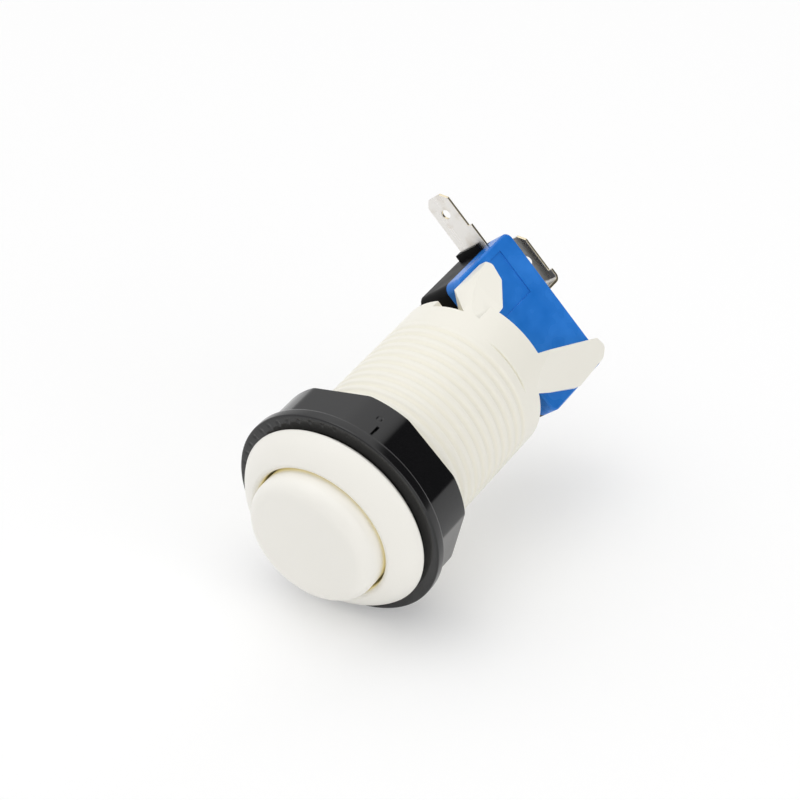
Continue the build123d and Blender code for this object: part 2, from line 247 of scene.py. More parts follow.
def addNode(tree, kind, links=(), **values):
    # A node with its properties and first socket values set, and its inputs linked
    node = tree.nodes.new(kind)
    for label, value in values.items():
        if hasattr(node, label):
            setattr(node, label, value)
        else:
            node.inputs[label.replace("_", " ")].default_value = value
    for socket, source in dict(links).items():
        tree.links.new(source, node.inputs[socket])
    return node


def feedSockets(tree, node, values):
    # Each socket is linked to its source, or set to its fixed value
    for socket, value in values.items():
        if isinstance(value, bpy.types.NodeSocket):
            tree.links.new(value, node.inputs[socket])
        else:
            node.inputs[socket].default_value = value


def mixColour(tree, share, first, second):
    # Colour mix whose sides are sockets or fixed colours: a mix node's colours go in at 6 and 7, out at 2
    node = addNode(tree, "ShaderNodeMix", data_type="RGBA")
    feedSockets(tree, node, {0: share, 6: first, 7: second})
    return node.outputs[2]


def mathNode(tree, operation, first, second=0.0, third=0.0):
    # Arithmetic on sockets or fixed numbers
    node = addNode(tree, "ShaderNodeMath", operation=operation)
    feedSockets(tree, node, {0: first, 1: second, 2: third})
    return node.outputs[0]


def noiseShare(tree, place, scale, detail):
    # Fractal noise around one half; the scale is a socket or a fixed number
    node = addNode(tree, "ShaderNodeTexNoise", {"Vector": place}, Detail=detail)
    feedSockets(tree, node, {"Scale": scale})
    return node.outputs["Fac"]


def readShare(tree, name):
    # A share from 0 to 1 that the mesh carries
    return addNode(tree, "ShaderNodeAttribute", attribute_name=name).outputs["Fac"]


def alongWay(tree, place, way):
    # Cosine of the angle between a direction and a fixed way
    node = addNode(tree, "ShaderNodeVectorMath", {0: place}, operation="DOT_PRODUCT")
    node.inputs[1].default_value = way
    return node.outputs["Value"]


def softRange(tree, value, low, high, start, end):
    # From start to end as the value goes from low to high, with an S-curve
    node = addNode(tree, "ShaderNodeMapRange", {"Value": value}, interpolation_type="SMOOTHSTEP",
                   From_Min=low, From_Max=high, To_Min=start, To_Max=end)
    return node.outputs["Result"]


def mixShaders(tree, share, first, second):
    # A mix of two shader nodes, as a node
    node = tree.nodes.new("ShaderNodeMixShader")
    tree.links.new(share, node.inputs[0])
    tree.links.new(first.outputs[0], node.inputs[1])
    tree.links.new(second.outputs[0], node.inputs[2])
    return node


# Shader groups

surfaceOutputs = {"Colour": "NodeSocketColor", "Roughness": "NodeSocketFloat", "Height": "NodeSocketFloat"}
skinNoise = {
    "cloudScale": 90.0, "cloudDetail": 3.0, "grainDetail": 2.0,
    "flowScale": 320.0, "flowDetail": 1.0, "flowHeight": 0.6,
}
stripNoise = {
    "streakStretch": (60, 1400, 1400), "streakDetail": 3.0, "streakRoughness": 0.22,
    "stainScale": 420.0, "stainDetail": 4.0, "stainFrom": 0.52, "stainTo": 0.8,
}


def mouldedSkinGroup(noise):
    # Moulded plastic: broad cloudy colour change, finer mottling, a fine grain and faint flow marks
    group, inside, outside = newGroup(
        "mouldedSkin",
        {
            "Vector": ("NodeSocketVector", None),
            "Colour": ("NodeSocketColor", (0.8, 0.8, 0.8, 1)),
            "Cloud Colour": ("NodeSocketColor", (0.7, 0.7, 0.7, 1)),
            "Cloud Amount": ("NodeSocketFloat", 0.3),
            "Mottle": ("NodeSocketFloat", 0.0),
            "Roughness": ("NodeSocketFloat", 0.35),
            "Roughness Spread": ("NodeSocketFloat", 0.1),
            "Grain Scale": ("NodeSocketFloat", 1500.0),
        },
        surfaceOutputs,
    )
    given = inside.outputs
    cloud = noiseShare(group, given["Vector"], noise["cloudScale"], noise["cloudDetail"])
    grain = noiseShare(group, given["Vector"], given["Grain Scale"], noise["grainDetail"])
    flow = noiseShare(group, given["Vector"], noise["flowScale"], noise["flowDetail"])
    uneven = mathNode(group, "SUBTRACT", flow, 0.5)
    mottled = mathNode(group, "MULTIPLY", uneven, given["Mottle"])
    share = mathNode(group, "MULTIPLY_ADD", cloud, given["Cloud Amount"], mottled)
    tinted = mixColour(group, share, given["Colour"], given["Cloud Colour"])
    rough = mathNode(group, "MULTIPLY_ADD", uneven, given["Roughness Spread"], given["Roughness"])
    height = mathNode(group, "MULTIPLY_ADD", flow, noise["flowHeight"], grain)
    feedSockets(group, outside, {"Colour": tinted, "Roughness": rough, "Height": height})
    return group


def rolledMetalGroup(noise):
    # Rolled strip metal: long streaks along X, small stains, and a second colour on cut edges
    group, inside, outside = newGroup(
        "rolledMetal",
        {
            "Vector": ("NodeSocketVector", None),
            "Colour": ("NodeSocketColor", (0.7, 0.7, 0.7, 1)),
            "Stain Colour": ("NodeSocketColor", (0.5, 0.45, 0.4, 1)),
            "Edge Colour": ("NodeSocketColor", (0.5, 0.35, 0.15, 1)),
            "Edge": ("NodeSocketFloat", 0.0),
            "Roughness": ("NodeSocketFloat", 0.3),
        },
        surfaceOutputs,
    )
    given = inside.outputs
    stretch = addNode(group, "ShaderNodeMapping", {"Vector": given["Vector"]}, Scale=noise["streakStretch"])
    streak = noiseShare(group, stretch.outputs["Vector"], 1.0, noise["streakDetail"])
    stain = noiseShare(group, given["Vector"], noise["stainScale"], noise["stainDetail"])
    spots = addNode(group, "ShaderNodeMapRange", {"Value": stain},
                    From_Min=noise["stainFrom"], From_Max=noise["stainTo"])
    stained = mixColour(group, spots.outputs["Result"], given["Colour"], given["Stain Colour"])
    edged = mixColour(group, given["Edge"], stained, given["Edge Colour"])
    uneven = mathNode(group, "SUBTRACT", streak, 0.5)
    rough = mathNode(group, "MULTIPLY_ADD", uneven, noise["streakRoughness"], given["Roughness"])
    feedSockets(group, outside, {"Colour": edged, "Roughness": rough, "Height": streak})
    return group


mouldedSkin = mouldedSkinGroup(skinNoise)
rolledMetal = rolledMetalGroup(stripNoise)


# Materials

plasticIor = 1.5


def startMaterial(name):
    # A material with its Principled shader, object coordinates and an empty tree otherwise
    material = bpy.data.materials.new(name)
    material.use_nodes = True
    tree = material.node_tree
    shader = next(node for node in tree.nodes if node.type == "BSDF_PRINCIPLED")
    place = tree.nodes.new("ShaderNodeTexCoord").outputs["Object"]
    return material, tree, shader, place


def placeGroup(tree, shader, group, values, bumpHeight):
    # A shader group with its values, feeding colour, roughness and a bump of that height in metres
    node = tree.nodes.new("ShaderNodeGroup")
    node.node_tree = group
    feedSockets(tree, node, values)
    bump = addNode(
        tree, "ShaderNodeBump", {"Height": node.outputs["Height"]}, Strength=1.0, Distance=bumpHeight
    )
    tree.links.new(node.outputs["Colour"], shader.inputs["Base Color"])
    tree.links.new(node.outputs["Roughness"], shader.inputs["Roughness"])
    tree.links.new(bump.outputs["Normal"], shader.inputs["Normal"])


def plasticMaterial(name, look):
    # Solid moulded plastic with the skin group's values. A look with a warm barrel colour also has the
    # shares that its mesh carries: a warmer barrel with painted shade in its grooves, and painted light in
    # the gap around the plunger, as a tint and a glow.
    material, tree, shader, place = startMaterial(name)
    colour = (*look["colour"], 1)
    if "barrelWarmAndGrooveShadeColour" in look:
        # Painted glow: the gap's walls near the lip give off a faint warm light of their own
        glow = mixColour(tree, readShare(tree, "gapLight"), (0, 0, 0, 1), (*look["gapGlow"], 1))
        tree.links.new(glow, shader.inputs["Emission Color"])
        shader.inputs["Emission Strength"].default_value = 1.0
        # Painted shade: a darker, warmer colour in the thread's grooves and the thin line, on top of a warmer
        # barrel
        colour = mixColour(tree, readShare(tree, "barrelWarmAndGrooveShade"), colour, (*look["barrelWarmAndGrooveShadeColour"], 1))
        # Painted light: a bright yellow tint on the walls of the gap between the plunger and the bore
        colour = mixColour(tree, readShare(tree, "gapPaintedLight"), colour, (*look["gapPaintedLightColour"], 1))
    placeGroup(tree, shader, mouldedSkin, {
        "Vector": place,
        "Colour": colour,
        "Cloud Colour": (*look["cloudColour"], 1),
        "Cloud Amount": look["cloudAmount"],
        "Mottle": look["mottle"],
        "Roughness": look["roughness"],
        "Roughness Spread": look["roughnessSpread"],
        "Grain Scale": look["grainScale"],
    }, look["bump"])
    shader.inputs["Specular IOR Level"].default_value = look["specular"]
    shader.inputs["IOR"].default_value = plasticIor
    return material


def metalMaterial(name, look):
    # Bare or plated metal with the rolled strip group's values; its cut edges come from an attribute
    material, tree, shader, place = startMaterial(name)
    placeGroup(tree, shader, rolledMetal, {
        "Vector": place,
        "Colour": (*look["colour"], 1),
        "Stain Colour": (*look["stainColour"], 1),
        "Edge Colour": (*look["edgeColour"], 1),
        "Edge": readShare(tree, "cutEdge"),
        "Roughness": look["roughness"],
    }, look["bump"])
    shader.inputs["Metallic"].default_value = 1.0
    return material


# The barrel colour also paints shade into the grooves; the gap colour and the gap glow are painted light
ivoryPlastic = plasticMaterial("ivoryPlastic", {
    "colour": (0.885, 0.866, 0.812), "cloudColour": (0.84, 0.82, 0.74), "cloudAmount": 0.22, "mottle": 0.0,
    "barrelWarmAndGrooveShadeColour": (0.855, 0.825, 0.710), "gapPaintedLightColour": (0.93, 0.86, 0.58), "gapGlow": (0.13, 0.11, 0.05),
    "roughness": 0.36, "roughnessSpread": 0.10, "grainScale": 2200.0, "bump": 0.000004, "specular": 0.45,
})
blackGloss = plasticMaterial("blackGlossPlastic", {
    "colour": (0.004, 0.004, 0.0045), "cloudColour": (0.008, 0.008, 0.009), "cloudAmount": 0.6, "mottle": 0.0,
    "roughness": 0.17, "roughnessSpread": 0.10, "grainScale": 1600.0, "bump": 0.000002, "specular": 0.5,
})
blackSwitch = plasticMaterial("blackSwitchPlastic", {
    "colour": (0.003, 0.003, 0.003), "cloudColour": (0.007, 0.007, 0.007), "cloudAmount": 0.5, "mottle": 0.0,
    "roughness": 0.42, "roughnessSpread": 0.14, "grainScale": 1900.0, "bump": 0.000004, "specular": 0.08,
})
bluePlastic = plasticMaterial("bluePlastic", {
    "colour": (0.015, 0.160, 0.575), "cloudColour": (0.034, 0.220, 0.715), "cloudAmount": 1.0, "mottle": 1.6,
    "roughness": 0.27, "roughnessSpread": 0.16, "grainScale": 1900.0, "bump": 0.000005, "specular": 0.22,
})
tinnedBrass = metalMaterial("tinnedBrass", {
    "colour": (0.81, 0.79, 0.76), "stainColour": (0.68, 0.63, 0.56), "edgeColour": (0.76, 0.67, 0.48),
    "roughness": 0.30, "bump": 0.000003,
})
springSteel = metalMaterial("springSteel", {
    "colour": (0.52, 0.52, 0.53), "stainColour": (0.40, 0.39, 0.38), "edgeColour": (0.52, 0.52, 0.53),
    "roughness": 0.28, "bump": 0.000001,
})
springBronze = metalMaterial("springBronze", {
    "colour": (0.62, 0.38, 0.18), "stainColour": (0.45, 0.25, 0.12), "edgeColour": (0.62, 0.38, 0.18),
    "roughness": 0.30, "bump": 0.000001,
})
contactSilver = metalMaterial("contactSilver", {
    "colour": (0.80, 0.79, 0.77), "stainColour": (0.60, 0.58, 0.55), "edgeColour": (0.80, 0.79, 0.77),
    "roughness": 0.22, "bump": 0.000001,
})
print("materials ready")


# Housing: turned shell with its screw thread, and the legs behind the rim

housingSize = {
    "boreRadius": 11.6, "lip": 0.8, "bezelRadius": 16.3, "bezelHeight": 4.9, "bezelEdge": 1.0, "bulge": 0.35,
    "undercut": 1.0, "edgeRound": 0.3, "skirtRound": 0.2,
    "lipSteps": 8, "domeSteps": 26, "domeTrim": 3, "skirtSteps": 5,
    "barrelRadius": 13.8, "barrelBore": 10.7, "ledge": -2.05, "webTop": -18.0, "webBottom": -20.0,
    "webBore": 3.8, "guideRadius": 4.55, "guideTop": -15.0, "joinHeight": -36.2,
    "wellRound": 0.3, "webRound": 0.2, "ledgeRound": 0.1, "insideSteps": 4,
    "gapRows": (1.6, 1.2, 0.8, 0.4, 0),
    "pitch": 2.0, "threadDepth": 0.25, "threadStart": -1.2, "threadEnd": -33.3, "rowsPerPitch": 12,
    "startFade": (0.2, -1.2), "endFade": (-0.1, 1.4), "crestLevel": -0.8, "skinTop": -0.4, "skinRows": 4,
    "lineHeight": -34.0, "lineWidth": 0.13, "lineDepth": 0.42, "lineFrom": 66.0, "lineTo": 112.0,
    "lineFadeIn": 8, "lineFadeOut": 12, "lineReach": 3, "lineRows": 15, "lineClear": 1.0,
    "columns": 240, "crease": 30,
}
tintLimits = {
    "skinDepth": 0.8, "skinMargin": 0.1, "barrelShare": 0.5, "barrelFrom": 0.0, "barrelFull": -2.0,
    "besideBore": 0.6, "gapFrom": -0.6, "gapFull": 0.4,
    "lightFrom": -0.7, "lightFull": 0.0, "lightFade": 0.1, "lightEnd": 1.2,
}


def bezelRows(size):
    # The round lip, the dome's arc and the rounded skirt under it, from the bore out to the barrel
    crown = np.array([size["boreRadius"] + size["lip"], size["bezelHeight"]])
    edge = np.array([size["bezelRadius"], size["bezelEdge"]])
    lipPoints = arcThrough(
        (size["boreRadius"], size["bezelHeight"] - size["lip"]),
        (size["boreRadius"] + size["lip"] * (1 - math.cos(math.pi / 4)),
         size["bezelHeight"] - size["lip"] * (1 - math.sin(math.pi / 4))),
        crown, size["lipSteps"])
    dome = arcThrough(crown, (crown + edge) / 2 + size["bulge"], edge, size["domeSteps"])
    dome = dome[:-size["domeTrim"]]
    steps = size["skirtSteps"]
    skirt = roundedRows([
        (*dome[-1], 0),
        (*edge, size["edgeRound"]),
        (size["bezelRadius"] - size["undercut"], 0, size["skirtRound"]),
        (size["barrelRadius"], 0, size["skirtRound"]),
        (size["barrelRadius"], size["threadStart"], 0),
    ], steps)
    return np.concatenate([lipPoints, dome[1:], skirt[steps:-steps]])


def barrelRows(size):
    # The barrel's skin, with rows for the thread and close rows at the thin line
    count = int((size["threadStart"] - size["threadEnd"]) / size["pitch"] * size["rowsPerPitch"])
    reach = size["lineReach"]
    heights = np.concatenate([
        np.linspace(size["skinTop"], size["threadStart"], size["skinRows"])[:-1],
        np.linspace(size["threadStart"], size["threadEnd"], count),
        size["lineHeight"] + size["lineWidth"] * np.linspace(reach, -reach, size["lineRows"]),
        [size["lineHeight"] - size["lineClear"], size["joinHeight"]],
    ])
    return np.stack([np.full_like(heights, size["barrelRadius"]), heights], -1)


def insideRows(size):
    # The rear well, the web with its guide, the spring's well and the bore up to the lip
    lipStart = size["bezelHeight"] - size["lip"]
    return roundedRows([
        (size["barrelBore"], size["joinHeight"], 0),
        (size["barrelBore"], size["webBottom"], size["wellRound"]),
        (size["webBore"], size["webBottom"], size["webRound"]),
        (size["webBore"], size["guideTop"], size["webRound"]),
        (size["guideRadius"], size["guideTop"], size["webRound"]),
        (size["guideRadius"], size["webTop"], size["wellRound"]),
        (size["barrelBore"], size["webTop"], size["wellRound"]),
        (size["barrelBore"], size["ledge"], size["ledgeRound"]),
        (size["boreRadius"], size["ledge"], size["ledgeRound"]),
        *((size["boreRadius"], lipStart - drop, 0) for drop in size["gapRows"]),
    ], size["insideSteps"])


def threadGroove(height, angle, size):
    # Depth of the soft screw groove: an S-curve of a cosine that climbs one pitch for each turn
    wave = np.cos(2 * np.pi * (height / size["pitch"] - angle / (2 * np.pi)))
    fade = smoothStep(*(size["threadEnd"] + offset for offset in size["endFade"]), height)
    fade = fade * smoothStep(*(size["threadStart"] + offset for offset in size["startFade"]), height)
    return size["threadDepth"] * fade * smoothStep(size["crestLevel"], 1.0, wave)


def collarLine(height, angle, size):
    # Depth of the thin line before the rear collar, between two angles on the cover's side
    degrees = np.degrees(angle)
    window = smoothStep(size["lineFrom"], size["lineFrom"] + size["lineFadeIn"], degrees)
    window = window * smoothStep(size["lineTo"], size["lineTo"] - size["lineFadeOut"], degrees)
    return size["lineDepth"] * window * np.exp(-((height - size["lineHeight"]) / size["lineWidth"]) ** 2)


def housingMesh(size):
    # The wall's closed section swung about Z; the barrel's skin loses the groove and the line
    rows = np.concatenate([bezelRows(size), barrelRows(size), insideRows(size)])
    section, angles = repeatedSection(rows, size["columns"])
    onSkin = np.isclose(section[..., 0], size["barrelRadius"])
    height = section[..., 1]
    cut = threadGroove(height, angles[None], size) + collarLine(height, angles[None], size)
    section[..., 0] -= np.where(onSkin, cut, 0)
    shell = meshFromGrid("housingShell", swungPoints(section, angles))
    legs = copyOfNode("housing", size["joinHeight"])
    return joinedMesh("housingMoulding", shell, legs)


def addShare(mesh, name, domain, values):
    # A share from 0 to 1 on each vertex or face, for the material to read
    mesh.attributes.new(name, "FLOAT", domain).data.foreach_set("value", values.astype(np.float32))


def markShadesAndPaintedLight(mesh, size, limits):
    # A warmer, darker tone is 0 on the bezel and half on the barrel, and painted shade takes it to 1 at the
    # bottom of a groove.
    # Between the plunger and the bore a painted light tint grows with depth, and a painted glow lights the
    # walls near the lip.
    places = np.empty(len(mesh.vertices) * 3, np.float32)
    mesh.vertices.foreach_get("co", places)
    places = places.reshape(-1, 3) / mm
    radius, height = np.hypot(places[:, 0], places[:, 1]), places[:, 2]
    grooveDepth = size["barrelRadius"] - radius
    margin = limits["skinMargin"]
    onSkin = (height < -margin) & (height > size["joinHeight"] + margin)
    onSkin = onSkin & (grooveDepth < limits["skinDepth"])
    grooveShade = np.where(onSkin, smoothStep(0.0, size["threadDepth"], grooveDepth), 0)
    onBarrel = smoothStep(limits["barrelFrom"], limits["barrelFull"], height)
    barrelWarmAndGrooveShade = limits["barrelShare"] * onBarrel + (1 - limits["barrelShare"]) * grooveShade
    nearBore = smoothStep(size["boreRadius"] + limits["besideBore"], size["boreRadius"], radius)
    gapDepth = size["bezelHeight"] - size["lip"] - height
    gapPaintedLight = nearBore * smoothStep(limits["gapFrom"], limits["gapFull"], gapDepth)
    gapLight = nearBore * smoothStep(limits["lightFrom"], limits["lightFull"], gapDepth)
    gapLight = gapLight * smoothStep(limits["lightEnd"], limits["lightFade"], gapDepth)
    addShare(mesh, "barrelWarmAndGrooveShade", "POINT", barrelWarmAndGrooveShade)
    addShare(mesh, "gapPaintedLight", "POINT", gapPaintedLight)
    addShare(mesh, "gapLight", "POINT", gapLight)


housingForm = housingMesh(housingSize)
markShadesAndPaintedLight(housingForm, housingSize, tintLimits)
housingMoulding = addPiece(
    "housingMoulding", housingForm, "frame_body", ivoryPlastic,
    replaced=["housing"], crease=housingSize["crease"],
)
print("housing made:", len(housingMoulding.data.polygons), "faces")


# Plunger: turned cap with a dished face and a full round edge, and the split stem

plungerSize = {
    "radius": 11.2, "top": 8.5, "edgeRound": 2.5, "dish": 0.5, "dishFrom": 1.5, "bottom": 1.1,
    "skirtInside": 9.5, "capUnderside": 6.3, "stemRadius": 3.5, "joinHeight": -16.0,
    "skirtRound": 0.25, "underRound": 0.5, "stemRound": 0.4, "stemEdge": 0.12,
    "gapRows": (4.8, 4.4, 4.1, 3.7, 3.3, 2.9, 2.5),
    "columns": 192, "faceSteps": 24, "edgeSteps": 20, "roundSteps": 5,
}


def plungerMesh(size):
    # Rows from the middle of the face outwards, over the round edge, under the skirt and down the stem
    edgeStart = size["radius"] - size["edgeRound"]
    edgeLevel = size["top"] - size["edgeRound"]
    across = np.linspace(0, edgeStart, size["faceSteps"])
    dish = size["dish"] * smoothStep(edgeStart, size["dishFrom"], across)
    face = np.stack([across, size["top"] - dish], -1)
    turn = np.linspace(0, np.pi / 2, size["edgeSteps"])[1:]
    edge = size["edgeRound"] * np.stack([np.sin(turn), np.cos(turn)], -1) + (edgeStart, edgeLevel)
    under = roundedRows([
        (size["radius"], edgeLevel, 0),
        *((size["radius"], level, 0) for level in size["gapRows"]),
        (size["radius"], size["bottom"], size["skirtRound"]),
        (size["skirtInside"], size["bottom"], size["skirtRound"]),
        (size["skirtInside"], size["capUnderside"], size["underRound"]),
        (size["stemRadius"], size["capUnderside"], size["stemRound"]),
        (size["stemRadius"], size["joinHeight"], 0),
        (0, size["joinHeight"], 0),
    ], size["roundSteps"])
    rows = np.concatenate([face, edge, under[size["roundSteps"]:]])
    section, angles = repeatedSection(rows, size["columns"])
    cap = meshFromGrid("plungerCap", swungPoints(section, angles), wrapRows=False)
    stem = copyOfNode("plunger", size["joinHeight"])
    sharpEdgeWeights(stem, leftOut=[size["joinHeight"]])
    return joinedMesh("plungerButton", cap, stem)


plungerForm = plungerMesh(plungerSize)
markShadesAndPaintedLight(plungerForm, housingSize, tintLimits)
plungerButton = addPiece(
    "plungerButton", plungerForm, "plunger_body", ivoryPlastic,
    replaced=["plunger"], bevel=plungerSize["stemEdge"],
)
print("plunger made:", len(plungerButton.data.polygons), "faces")


# Retaining nut: hexagon with turned corners, flange with small teeth on its front

nutSize = {
    "bore": 14.0, "flat": 16.35, "corner": 17.2, "flange": 18.05, "top": -0.1, "flangeBottom": -1.8,
    "coneHeight": 1.3, "bottom": -9.1, "turn": 2.0, "edgeBlend": 0.05,
    "boreRound": 0.3, "rimRound": 0.4, "rimRearRound": 0.3, "coneRound": 0.3, "rearRound": 0.22,
    "teeth": 48, "toothDepth": 0.10, "toothIn": 16.7, "toothOut": 17.4, "toothFrom": 0.50,
    "toothTowards": 185.0, "toothFade": (0.1, 0.7),
    "markAngle": 121.2, "markHeight": -6.0, "markRadius": 0.40, "markLine": 0.09, "markDepth": 0.10,
    "notchAngle": 118.9, "notchHeight": -3.6, "notchWidth": 0.36, "notchTall": 1.7, "notchDepth": 0.70,
    "notchSoft": 0.05, "notchEndSoft": 0.1, "boreClear": 1.0, "rearClear": 0.8,
    "columns": 576, "sideRows": 44, "roundSteps": 5, "besideLine": (-0.5, -0.25, -0.1, 0, 0.1, 0.25, 0.5),
    "markMargin": 3, "markColumns": 60, "crease": 50,
}


def nutAngles(size):
    # Even columns, with more of them beside the hexagon's facet lines and around the marks
    even = np.linspace(0, 360, size["columns"], endpoint=False)
    half = math.degrees(math.acos(size["flat"] / size["corner"]))
    flats = size["turn"] + 30 + 60 * np.arange(6)
    lines = np.concatenate([flats - half, flats + half])
    near = (lines[:, None] + np.array(size["besideLine"])).ravel()
    margin = size["markMargin"]
    marks = np.linspace(size["notchAngle"] - margin, size["markAngle"] + margin, size["markColumns"])
    return np.radians(np.unique(np.round(np.concatenate([even, near, marks]) % 360, 3)))


def nutSide(angles, size):
    # Radius of the side: the smaller of the hexagon's flat and the turned corner, blended where they
    # meet by the logarithm of the sum of their exponentials
    offset = np.radians((np.degrees(angles) - size["turn"]) % 60 - 30)
    flat = size["flat"] / np.cos(offset)
    blend = size["edgeBlend"]
    flatShare = np.exp(-(flat - size["flat"]) / blend)
    cornerShare = np.exp(-(size["corner"] - size["flat"]) / blend)
    return size["flat"] - blend * np.log(flatShare + cornerShare)


def nutRows(angles, size):
    # The section's corners as radius, height and round at every angle: the front with its teeth, the
    # flange, the cone and the side, which has many rows for the two small marks
    side = nutSide(angles, size)
    same = np.ones_like(side)
    top, bottom = size["top"] * same, size["bottom"] * same
    coneDrop = size["coneHeight"] * (size["flange"] - side) / (size["flange"] - size["flat"])
    coneEnd = size["flangeBottom"] - coneDrop
    toothed = smoothStep(*size["toothFade"], np.cos(angles - math.radians(size["toothTowards"])))
    tooth = smoothStep(size["toothFrom"], 1.0, np.cos(angles * size["teeth"]))
    tooth = tooth * size["toothDepth"] * toothed
    toothRun = np.linspace(size["toothIn"], size["toothOut"], 4)
    return [
        (size["bore"] * same, top, size["boreRound"]),
        (toothRun[0] * same, top, 0),
        *((radius * same, size["top"] - tooth, 0) for radius in toothRun[1:3]),
        (toothRun[3] * same, top, 0),
        (size["flange"] * same, top, size["rimRound"]),
        (size["flange"] * same, size["flangeBottom"] * same, size["rimRearRound"]),
        (side, coneEnd, size["coneRound"]),
        *((side, coneEnd + (size["bottom"] - coneEnd) * part, 0)
          for part in np.linspace(0, 1, size["sideRows"])[1:-1]),
        (side, bottom, size["rearRound"]),
        (size["bore"] * same, bottom, size["boreRound"]),
    ]


def markDepths(radius, height, angles, size):
    # Depth of the ring mark, a bell curve across its circle, and of the notch, a slot with soft edges
    degrees, perDegree = np.degrees(angles), math.radians(size["corner"])
    aroundMark = np.hypot((degrees - size["markAngle"]) * perDegree, height - size["markHeight"])
    ring = size["markDepth"] * np.exp(-((aroundMark - size["markRadius"]) / size["markLine"]) ** 2)
    acrossNotch = np.abs((degrees - size["notchAngle"]) * perDegree)
    alongNotch = np.abs(height - size["notchHeight"])
    notch = softSlot(acrossNotch, size["notchWidth"], size["notchSoft"])
    notch = notch * softSlot(alongNotch, size["notchTall"], size["notchEndSoft"])
    onSide = (radius > size["bore"] + size["boreClear"]) & (height < size["flangeBottom"])
    onSide = onSide & (height > size["bottom"] + size["rearClear"])
    return np.where(onSide, ring + size["notchDepth"] * notch, 0)


def nutMesh(size):
    # The rounded section at each angle, with the two small marks cut into its side
    angles = nutAngles(size)
    rows = nutRows(angles, size)
    corners = np.stack([np.stack(row[:2], -1) for row in rows])
    section = roundedLoop(corners, [row[2] for row in rows], size["roundSteps"])
    section[..., 0] -= markDepths(section[..., 0], section[..., 1], angles, size)
    return meshFromGrid("flangedNut", swungPoints(section, angles))


flangedNut = addPiece(
    "flangedNut", nutMesh(nutSize), "nut_body", blackGloss,
    replaced=["retaining_nut"], crease=nutSize["crease"],
)
print("nut made:", len(flangedNut.data.polygons), "faces")


# Return spring: round wire on a helix between the web and the cap

springSize = {
    "radius": 5.4, "wire": 0.45, "low": -17.45, "high": 5.75, "turns": 3.5, "perTurn": 72, "around": 14,
    "foot": -17.9, "keep": 0.8755,
}


def springMesh(size):
    # Helix points carry a circle whose plane holds the outward direction and the binormal.
    # At both ends a circle of no radius closes the wire.
    count = int(size["turns"] * size["perTurn"]) + 1
    turn = np.linspace(0, 2 * np.pi * size["turns"], count)
    rise = (size["high"] - size["low"]) / turn[-1]
    outward = np.stack([np.cos(turn), np.sin(turn), np.zeros(count)], -1)
    along = np.stack([
        -size["radius"] * np.sin(turn), size["radius"] * np.cos(turn), np.full(count, rise),
    ], -1)
    along /= np.linalg.norm(along, axis=-1, keepdims=True)
    upward = np.cross(outward, along)
    line = outward * size["radius"]
    line[:, 2] = size["low"] + rise * turn
    around = np.linspace(0, 2 * np.pi, size["around"], endpoint=False)[None, :, None]
    reach = np.pad(np.full(count, size["wire"]), 1)[:, None, None]
    rows = [np.concatenate([part[:1], part, part[-1:]])[:, None] for part in (line, outward, upward)]
    points = rows[0] + reach * (np.cos(around) * rows[1] + np.sin(around) * rows[2])
    return meshFromGrid("coilSpring", points, wrapRows=False)


coilSpring = addPiece(
    "coilSpring", springMesh(springSize), "frame_body", springSteel,
    replaced=["return_spring"],
)
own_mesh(coilSpring)
print("spring made:", len(coilSpring.data.polygons), "faces")


# Snap switch: CAD copies with softened edges, whose widths are in millimetres

switchPieces = {
    "switch_base": ("switchBase", "frame_body", "black_switch_plastic", blackSwitch, 0.22),
    "switch_cover": ("switchCover", "frame_body", "blue_plastic", bluePlastic, 0.20),
    "switch_pin": ("switchPin", "pin_body", "black_switch_plastic", blackSwitch, 0.30),
    "com_terminal": ("comTab", "frame_body", "tinned_brass", tinnedBrass, 0.08),
    "no_terminal": ("noTab", "frame_body", "tinned_brass", tinnedBrass, 0.08),
    "contact_blade": ("contactBlade", "blade_body", "spring_bronze", springBronze, 0.04),
    "moving_contact": ("movingContact", "blade_body", "contact_silver", contactSilver, 0.12),
    "fixed_contact": ("fixedContact", "frame_body", "contact_silver", contactSilver, 0.12),
}
leastSideways = 0.3


def markCutEdges(mesh):
    # 1 on the stamped sides of a strip and the slanted sides of its tip, whose normals lean along Y
    normals = np.empty(len(mesh.polygons) * 3)
    mesh.polygons.foreach_get("normal", normals)
    addShare(mesh, "cutEdge", "FACE", np.abs(normals.reshape(-1, 3)[:, 1]) > leastSideways)


for node, (name, body, slot, material, bevel) in switchPieces.items():
    mesh = copyOfNode(node)
    sharpEdgeWeights(mesh)
    if "terminal" in node:
        markCutEdges(mesh)
    addPiece(name, mesh, body, material, replaced=[node], bevel=bevel)
print("switch made:", len(switchPieces), "pieces")


# Camera at the photograph's view, in millimetres of the button's own frame

cameraView = {
    "place": (-76.3, 309.6, 231.0),
    "right": (0.60047, 0.58524, -0.54494), "down": (0.78046, -0.28039, 0.55884),
    "forward": (0.17426, -0.76085, -0.62511),
    "lens": 117.0, "sensor": 36.0, "nearest": 10.0,
}
rightWay, downWay, forwardWay = (
    Vector(cameraView[side]).normalized() for side in ("right", "down", "forward")
)


def fromCamera(right, up, back):
    # A direction given to the right, up and back of the camera
    return (rightWay * right - downWay * up - forwardWay * back).normalized()


cameraData = bpy.data.cameras.new("photoCamera")
cameraData.lens = cameraView["lens"]
cameraData.sensor_width = cameraView["sensor"]
cameraData.clip_start = cameraView["nearest"] * mm
photoCamera = bpy.data.objects.new("photoCamera", cameraData)
turnedAxes = Matrix((rightWay, -downWay, -forwardWay)).transposed().to_4x4()
photoCamera.matrix_world = Matrix.Translation(Vector(cameraView["place"]) * mm) @ turnedAxes
bpy.context.scene.collection.objects.link(photoCamera)
bpy.context.scene.camera = photoCamera


